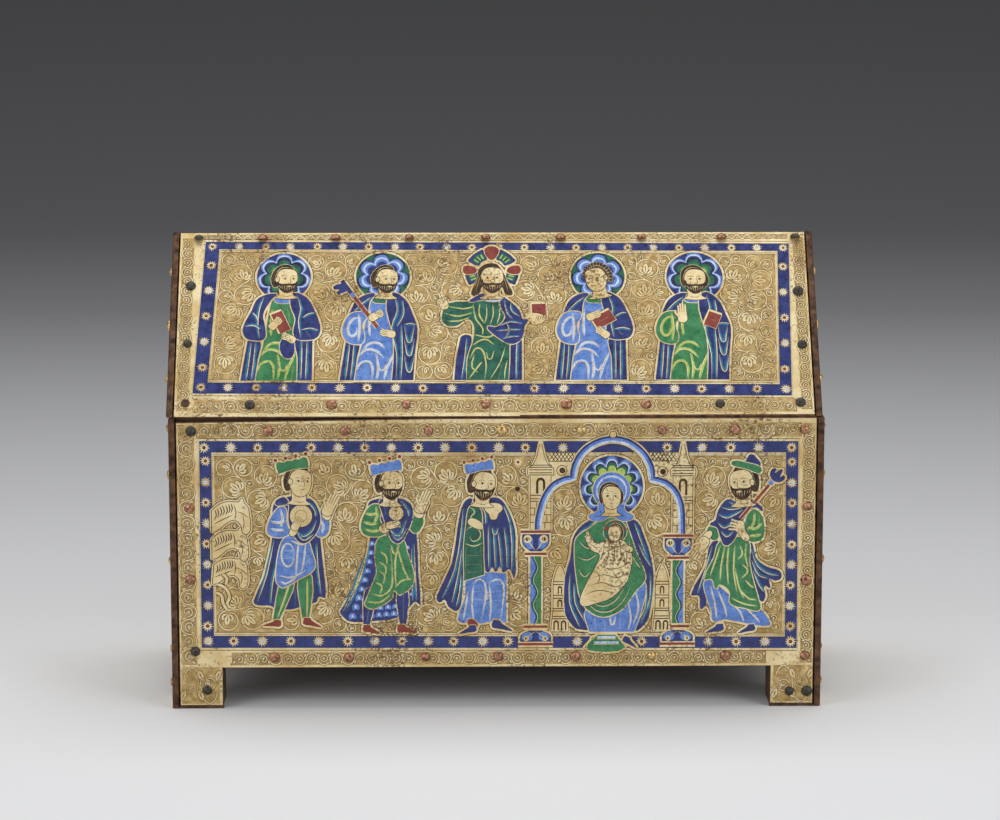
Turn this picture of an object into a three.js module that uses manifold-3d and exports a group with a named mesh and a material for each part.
// Reliquary casket in the shape of a house: gilt copper plates nailed over a hollow
// wooden box and a hollow wooden lid that lifts off.
// Millimetres, +Z up. The origin is on the ground, under the middle of the casket, and
// the enamelled front faces -Y.

import * as THREE from "three";
import { mergeVertices } from "three/addons/utils/BufferGeometryUtils.js";
import Module from "manifold-3d";

const wasm = await Module();
wasm.setup();

// ---------------------------------------------------------------- driving dimensions

const WIDTH = 260; // over the end plates
const DEPTH = 104; // over the front and back plates
const EAVES = 118; // ground to the joint between box and lid
const ROOF_RISE = 68; // joint to ridge line

const PLATE = 2.5; // thickness of a copper plate
const EDGE = 0.4; // softened edge of a plate
const BED = 0.3; // play between a plate and its neighbour or the wood
const WALL = 8; // thickness of the wood

const FOOT_HEIGHT = 16.5; // ground to the underside of the box
const FOOT_WIDTH = 20.5; // of a foot, measured from the casket's corner

const LID_SHIFT = -0.8; // the lid sits a little to the left
const EAVES_GAP = 0.4; // between the box's plates and the lid's plates
const WARP_DROP = 1.4; // the front plate's top edge falls this much at its left corner
const WARP_START = -20; // where along X that fall begins
const LIP_DEPTH = 4; // how far the lid's lip drops into the box
const LIP_WALL = 4;
const LIP_PLAY = 1.5;

const HEAD_RADIUS = 2.1; // of a nail
const HEAD_HEIGHT = 1.5;
const SHANK_RADIUS = 0.75;
const SHANK_LENGTH = 8;
const HOLE_RADIUS = 1.2;
const HOLE_DEPTH = 9;
const NAIL_SIDES = 8;

// ---------------------------------------------------------------- worked out from those

const HALF_WIDTH = WIDTH / 2;
const HALF_DEPTH = DEPTH / 2;
const CORE_HALF_WIDTH = HALF_WIDTH - PLATE - BED;
const CORE_HALF_DEPTH = HALF_DEPTH - PLATE - BED;
const PITCH = Math.atan2(ROOF_RISE, HALF_DEPTH);
const SLOPE = Math.hypot(ROOF_RISE, HALF_DEPTH);
const FOOT_EDGE = HALF_WIDTH - FOOT_WIDTH; // inner edge of a front or back foot
const END_FOOT_EDGE = HALF_DEPTH - FOOT_WIDTH; // inner edge of a foot on an end plate
const LEG = FOOT_WIDTH - PLATE - 2 * BED; // side of a square wooden leg

// Nails of the front, as [x, z] on the box and [x, distance up the slope] on the lid.
// The spacing is the smith's own, by eye.

const BOX_ROW_TOP = 113;
const BOX_ROW_BOTTOM = 21;
const BOX_TOP_X = [-121, -90.5, -60, -27, 2, 33.5, 65.5, 94.5, 122];
const BOX_BOTTOM_X = [-89, -59, -28.5, 0.5, 31.5, 62, 91.5];
const BOX_LEFT = [[-122, 82], [-122, 53], [-120.5, 23.5]];
const BOX_RIGHT = [[123.5, 82], [123.5, 52], [123.5, 21]];
const FEET = [[-116, 7.5], [117.5, 6.3], [124.5, 6.3]];

const LID_ROW_TOP = 82.4;
const LID_ROW_BOTTOM = 5.8;
const LID_TOP_X = [-119.5, -93.5, -64, -34, -3, 27.5, 60.5, 93, 123];
const LID_BOTTOM_X = [-97, -64.5, -35, -3.5, 28.5, 60, 89.5];
const LID_LEFT = [[-122, 60], [-122.5, 33.5]];
const LID_RIGHT = [[123, 57], [123.5, 32.5], [121.5, 6.3]];
const LID_EMPTY_HOLE = [-122.5, 6.5];

const onRow = (xs, height) => xs.map((x) => [x, height]);

const FRONT_NAILS = {
  top: onRow(BOX_TOP_X, BOX_ROW_TOP),
  left: BOX_LEFT,
  right: BOX_RIGHT,
  bottom: onRow(BOX_BOTTOM_X, BOX_ROW_BOTTOM),
  foot: FEET,
};
const ROOF_NAILS = {
  top: onRow(LID_TOP_X, LID_ROW_TOP),
  left: LID_LEFT,
  right: LID_RIGHT,
  bottom: onRow(LID_BOTTOM_X, LID_ROW_BOTTOM),
};

// Nails of the hidden sides are evenly spaced, and their heads are one with the plate.

const BACK_NAIL_COUNT = 6;
const BACK_NAIL_REACH = 120;
const END_NAIL_REACH = 44;
const END_NAIL_HEIGHTS = [9, 23, 59, 94];
const GABLE_NAIL_STATIONS = [0.14, 0.5, 0.86]; // along a sloping edge
const GABLE_NAIL_INSET = 5;

const evenly = (count, reach) =>
  Array.from({ length: count }, (_, i) => -reach + (2 * reach * i) / (count - 1));

// ---------------------------------------------------------------- materials

const material = (color, roughness, metalness) =>
  new THREE.MeshStandardMaterial({ color, roughness, metalness });

const GILT_COPPER = material(0xb79a5b, 0.38, 0.9);
const NAIL_COPPER = material(0x8c5a4a, 0.45, 0.9);
const OLD_OAK = material(0x5c4029, 0.8, 0.0);

// ---------------------------------------------------------------- solids

function toSolid(geometry) {
  const bare = geometry.clone();
  bare.deleteAttribute("normal");
  bare.deleteAttribute("uv");
  const merged = mergeVertices(bare, 1e-5);
  return new wasm.Manifold(
    new wasm.Mesh({
      numProp: 3,
      vertProperties: new Float32Array(merged.attributes.position.array),
      triVerts: new Uint32Array(merged.index.array),
    }),
  );
}

function toGeometry(solid) {
  const mesh = solid.getMesh();
  const geometry = new THREE.BufferGeometry();
  geometry.setAttribute("position", new THREE.BufferAttribute(mesh.vertProperties, 3));
  geometry.setIndex(new THREE.BufferAttribute(mesh.triVerts, 1));
  geometry.computeVertexNormals();
  return geometry;
}

const joined = (solids) => solids.reduce((whole, next) => whole.add(next));

function block([x0, x1], [y0, y1], [z0, z1]) {
  const geometry = new THREE.BoxGeometry(x1 - x0, y1 - y0, z1 - z0);
  return toSolid(geometry.translate((x0 + x1) / 2, (y0 + y1) / 2, (z0 + z1) / 2));
}

const shapeOf = (points) => new THREE.Shape(points.map(([a, b]) => new THREE.Vector2(a, b)));

// A plate with softened edges. It lies in the XY plane, and its face is at z = PLATE.
function plate(outline) {
  const geometry = new THREE.ExtrudeGeometry(shapeOf(outline), {
    depth: PLATE - 2 * EDGE,
    bevelThickness: EDGE,
    bevelSize: EDGE,
    bevelOffset: -EDGE,
    bevelSegments: 1,
  });
  return toSolid(geometry.translate(0, 0, EDGE));
}

// A prism along X over an outline of [y, z] points.
function prismAlongX(outline, halfWidth, edge = 0) {
  const geometry = new THREE.ExtrudeGeometry(shapeOf(outline), {
    depth: 2 * (halfWidth - edge),
    bevelEnabled: edge > 0,
    bevelThickness: edge,
    bevelSize: edge,
    bevelOffset: -edge,
    bevelSegments: 1,
  });
  geometry.translate(0, 0, edge - halfWidth);
  // the outline's two directions become Y and Z, and its depth becomes X
  geometry.applyMatrix4(
    new THREE.Matrix4().makeBasis(
      new THREE.Vector3(0, 1, 0),
      new THREE.Vector3(0, 0, 1),
      new THREE.Vector3(1, 0, 0),
    ),
  );
  return toSolid(geometry);
}

const lathe = (profile) =>
  new THREE.LatheGeometry(
    profile.map(([r, h]) => new THREE.Vector2(r, h)),
    NAIL_SIDES,
  ).rotateX(Math.PI / 2);

// What lies under the surface leans towards -Y by this much for each unit of depth.
function leaning(geometry, lean) {
  const position = geometry.attributes.position;
  for (let i = 0; i < position.count; i++) {
    const depth = Math.max(0, -position.getZ(i));
    position.setY(i, position.getY(i) - lean * depth);
  }
  return geometry;
}

// A hand-made nail with its point down -Z and the underside of its head at z = 0.
function nailGeometry(lean = 0) {
  const length = SHANK_LENGTH / Math.hypot(1, lean);
  const profile = [
    [0, -length],
    [SHANK_RADIUS * 0.7, -length * 0.75],
    [SHANK_RADIUS, 0],
    [HEAD_RADIUS, 0],
    [HEAD_RADIUS * 0.62, HEAD_HEIGHT * 0.8],
    [0, HEAD_HEIGHT],
  ];
  return leaning(lathe(profile), lean);
}

// The head alone, sunk a little into the plate that it is one with.
const fixedHead = () =>
  lathe([
    [0, -PLATE / 2],
    [HEAD_RADIUS, -PLATE / 2],
    [HEAD_RADIUS, 0],
    [HEAD_RADIUS * 0.62, HEAD_HEIGHT * 0.8],
    [0, HEAD_HEIGHT],
  ]);

function drill(lean) {
  const depth = HOLE_DEPTH / Math.hypot(1, lean);
  const profile = [
    [0, -depth],
    [HOLE_RADIUS, -depth],
    [HOLE_RADIUS, 0],
    [HOLE_RADIUS, PLATE],
    [0, PLATE],
  ];
  return leaning(lathe(profile), lean);
}

// Drills or heads at [x, y] places on a plate's face.
const placedAt = (make, places) =>
  joined(places.map(([x, y]) => toSolid(make().translate(x, y, PLATE))));

const drilled = (solid, places, lean = 0) =>
  solid.subtract(placedAt(() => drill(lean), places));

const withHeads = (solid, places) => solid.add(placedAt(fixedHead, places));

// ---------------------------------------------------------------- turning and placing

function named(name, geometry, paint) {
  const mesh = new THREE.Mesh(geometry, paint);
  mesh.name = name;
  return mesh;
}

// An upright plane: X stays, Y becomes up, and the plane's face looks along -Y.
function frontPlane() {
  const plane = new THREE.Group();
  plane.rotation.x = Math.PI / 2;
  plane.position.y = PLATE - HALF_DEPTH;
  return plane;
}

// The plane of the front slope: X stays, Y runs up the slope from the eaves.
function slopePlane() {
  const plane = new THREE.Group();
  plane.rotation.x = PITCH;
  plane.position.set(0, -HALF_DEPTH + PLATE * Math.sin(PITCH), EAVES - PLATE * Math.cos(PITCH));
  return plane;
}

const halfTurn = (child) => {
  const turned = new THREE.Group();
  turned.rotation.z = Math.PI;
  turned.add(child);
  return turned;
};

// ---------------------------------------------------------------- outlines

// A plate with a foot at each lower corner. The top edge may fall towards its left end.
function footedOutline(half, footEdge, drop = 0) {
  const top = EAVES;
  return [
    [-half, 0],
    [-footEdge, 0],
    [-footEdge, FOOT_HEIGHT],
    [footEdge, FOOT_HEIGHT],
    [footEdge, 0],
    [half, 0],
    [half, top],
    ...(drop ? [[WARP_START, top]] : []),
    [-half, top - drop],
  ];
}

// The pitched section of the lid at a depth under its outer surface, down to a height.
function gableOutline(depth, bottom) {
  const apex = EAVES + ROOF_RISE - depth / Math.cos(PITCH);
  const half = (apex - bottom) / Math.tan(PITCH);
  return [[-half, bottom], [half, bottom], [0, apex]];
}

// The front half of the lid's skin, mitred at the ridge and level at the eaves.
function slopeOutline() {
  const bottom = EAVES + EAVES_GAP;
  const [outer] = gableOutline(0, bottom);
  const [inner, , innerApex] = gableOutline(PLATE, bottom);
  const ridge = [-BED / 2, EAVES + ROOF_RISE - (BED / 2) * Math.tan(PITCH)];
  const innerRidge = [-BED / 2, innerApex[1] - (BED / 2) * Math.tan(PITCH)];
  return [outer, inner, innerRidge, ridge];
}

// ---------------------------------------------------------------- the box

const allFrontNails = Object.values(FRONT_NAILS).flat();

function boxCore() {
  const wide = [-CORE_HALF_WIDTH, CORE_HALF_WIDTH];
  const deep = [-CORE_HALF_DEPTH, CORE_HALF_DEPTH];
  const inset = ([low, high]) => [low + WALL, high - WALL];
  const legs = [-1, 1].flatMap((sx) =>
    [-1, 1].map((sy) => {
      const alongX = [sx * (CORE_HALF_WIDTH - LEG), sx * CORE_HALF_WIDTH].sort((a, b) => a - b);
      const alongY = [sy * (CORE_HALF_DEPTH - LEG), sy * CORE_HALF_DEPTH].sort((a, b) => a - b);
      return block(alongX, alongY, [0, FOOT_HEIGHT + 1]);
    }),
  );
  const outside = block(wide, deep, [FOOT_HEIGHT + BED, EAVES]);
  const inside = block(inset(wide), inset(deep), [FOOT_HEIGHT + BED + WALL, EAVES + 1]);
  const body = joined([outside, ...legs]).subtract(inside);
  return upright(body, (turned) => drilled(turned, allFrontNails));
}

// Does some work on a solid as seen in the front plane, and puts it back.
function upright(solid, work) {
  const plane = frontPlane();
  plane.updateMatrix();
  return onPlane(solid, plane.matrix, work);
}

function onPlane(solid, matrix, work) {
  const inverse = matrix.clone().invert();
  const flat = solid.transform([...inverse.elements]);
  return work(flat).transform([...matrix.elements]);
}

function box() {
  const group = new THREE.Group();
  group.add(named("box_core", toGeometry(boxCore()), OLD_OAK));

  const half = CORE_HALF_WIDTH;
  const front = drilled(plate(footedOutline(half, FOOT_EDGE, WARP_DROP)), allFrontNails);
  const frontGroup = frontPlane();
  frontGroup.add(named("front_plate", toGeometry(front), GILT_COPPER));
  for (const [row, places] of Object.entries(FRONT_NAILS)) {
    places.forEach(([x, y], i) => {
      const nail = named(`front_nail_${row}_${i + 1}`, nailGeometry(), NAIL_COPPER);
      nail.position.set(x, y, PLATE);
      frontGroup.add(nail);
    });
  }
  group.add(frontGroup);

  const backXs = evenly(BACK_NAIL_COUNT, BACK_NAIL_REACH);
  const backNails = [
    ...onRow(backXs, BOX_ROW_TOP),
    ...onRow(backXs, BOX_ROW_BOTTOM),
    ...[-1, 1].flatMap((side) => [
      [side * BACK_NAIL_REACH, 7],
      [side * BACK_NAIL_REACH, (BOX_ROW_TOP + BOX_ROW_BOTTOM) / 2],
    ]),
  ];
  const back = withHeads(plate(footedOutline(half, FOOT_EDGE)), backNails);
  const backGroup = frontPlane();
  backGroup.add(named("back_plate", toGeometry(back), GILT_COPPER));
  group.add(halfTurn(backGroup));

  const endNails = [
    ...[-1, 1].flatMap((side) => END_NAIL_HEIGHTS.map((z) => [side * END_NAIL_REACH, z])),
    ...onRow(evenly(3, END_NAIL_REACH), BOX_ROW_TOP),
  ];
  const end = toGeometry(withHeads(plate(footedOutline(HALF_DEPTH, END_FOOT_EDGE)), endNails));
  group.add(endGroup("left_end_plate", end, -1), endGroup("right_end_plate", end, 1));
  return group;
}

// Turns a plate's face to -X or +X and puts it on that end.
function endGroup(name, geometry, side) {
  const upright = new THREE.Group();
  upright.rotation.x = Math.PI / 2;
  upright.position.y = PLATE - HALF_WIDTH;
  upright.add(named(name, geometry, GILT_COPPER));
  const turned = new THREE.Group();
  turned.rotation.z = (side * Math.PI) / 2;
  turned.add(upright);
  return turned;
}

// ---------------------------------------------------------------- the lid

// The nails along the ridge are driven straight down, and the others square to the slope.
const RIDGE_LEAN = Math.tan(PITCH);

function drilledForRoofNails(solid) {
  const { top, ...others } = ROOF_NAILS;
  const square = [...Object.values(others).flat(), LID_EMPTY_HOLE];
  const plane = slopePlane();
  plane.updateMatrix();
  return onPlane(solid, plane.matrix, (flat) =>
    drilled(drilled(flat, square), top, RIDGE_LEAN),
  );
}

function lidCore() {
  const skin = PLATE + BED;
  const outside = prismAlongX(gableOutline(skin, EAVES), CORE_HALF_WIDTH);
  const lipX = CORE_HALF_WIDTH - WALL - LIP_PLAY;
  const lipY = CORE_HALF_DEPTH - WALL - LIP_PLAY;
  const lip = block([-lipX, lipX], [-lipY, lipY], [EAVES - LIP_DEPTH, EAVES + 1]);
  const hollow = prismAlongX(gableOutline(skin + WALL, EAVES - 1), CORE_HALF_WIDTH - WALL);
  const throat = block(
    [-lipX + LIP_WALL, lipX - LIP_WALL],
    [-lipY + LIP_WALL, lipY - LIP_WALL],
    [EAVES - LIP_DEPTH - 1, EAVES + LIP_WALL],
  );
  return drilledForRoofNails(joined([outside, lip]).subtract(hollow).subtract(throat));
}

function roofPlate() {
  return prismAlongX(slopeOutline(), CORE_HALF_WIDTH, EDGE);
}

function lid() {
  const group = new THREE.Group();
  group.position.x = LID_SHIFT;
  group.add(named("lid_core", toGeometry(lidCore()), OLD_OAK));

  const front = drilledForRoofNails(roofPlate());
  group.add(named("roof_front_plate", toGeometry(front), GILT_COPPER));
  const plane = slopePlane();
  plane.updateMatrix();
  for (const [row, places] of Object.entries(ROOF_NAILS)) {
    places.forEach(([x, y], i) => {
      const shape = nailGeometry(row === "top" ? RIDGE_LEAN : 0);
      const nail = named(`roof_nail_${row}_${i + 1}`, shape, NAIL_COPPER);
      nail.position.set(x, y, PLATE + BED / 2);
      plane.add(nail);
    });
  }
  group.add(plane);

  const backXs = evenly(BACK_NAIL_COUNT, BACK_NAIL_REACH);
  const backNails = [
    ...onRow(backXs, LID_ROW_TOP - 3),
    ...onRow(backXs, LID_ROW_BOTTOM),
    ...onRow([-BACK_NAIL_REACH, BACK_NAIL_REACH], SLOPE / 2),
  ];
  const back = onPlane(roofPlate(), plane.matrix, (flat) => withHeads(flat, backNails));
  group.add(halfTurn(named("roof_back_plate", toGeometry(back), GILT_COPPER)));

  const gable = toGeometry(withHeads(plate(gableOutline(0, EAVES + EAVES_GAP)), gableNails()));
  group.add(endGroup("left_gable_plate", gable, -1), endGroup("right_gable_plate", gable, 1));
  return group;
}

function gableNails() {
  const [left, right, apex] = gableOutline(GABLE_NAIL_INSET, EAVES + GABLE_NAIL_INSET);
  const along = (corner, t) => corner.map((c, i) => c + (apex[i] - c) * t);
  return [left, right]
    .flatMap((corner) => GABLE_NAIL_STATIONS.map((t) => along(corner, t)))
    .concat([[0, EAVES + GABLE_NAIL_INSET]]);
}

// ---------------------------------------------------------------- the casket

const casket = new THREE.Group();
casket.add(box(), lid());

export default casket;
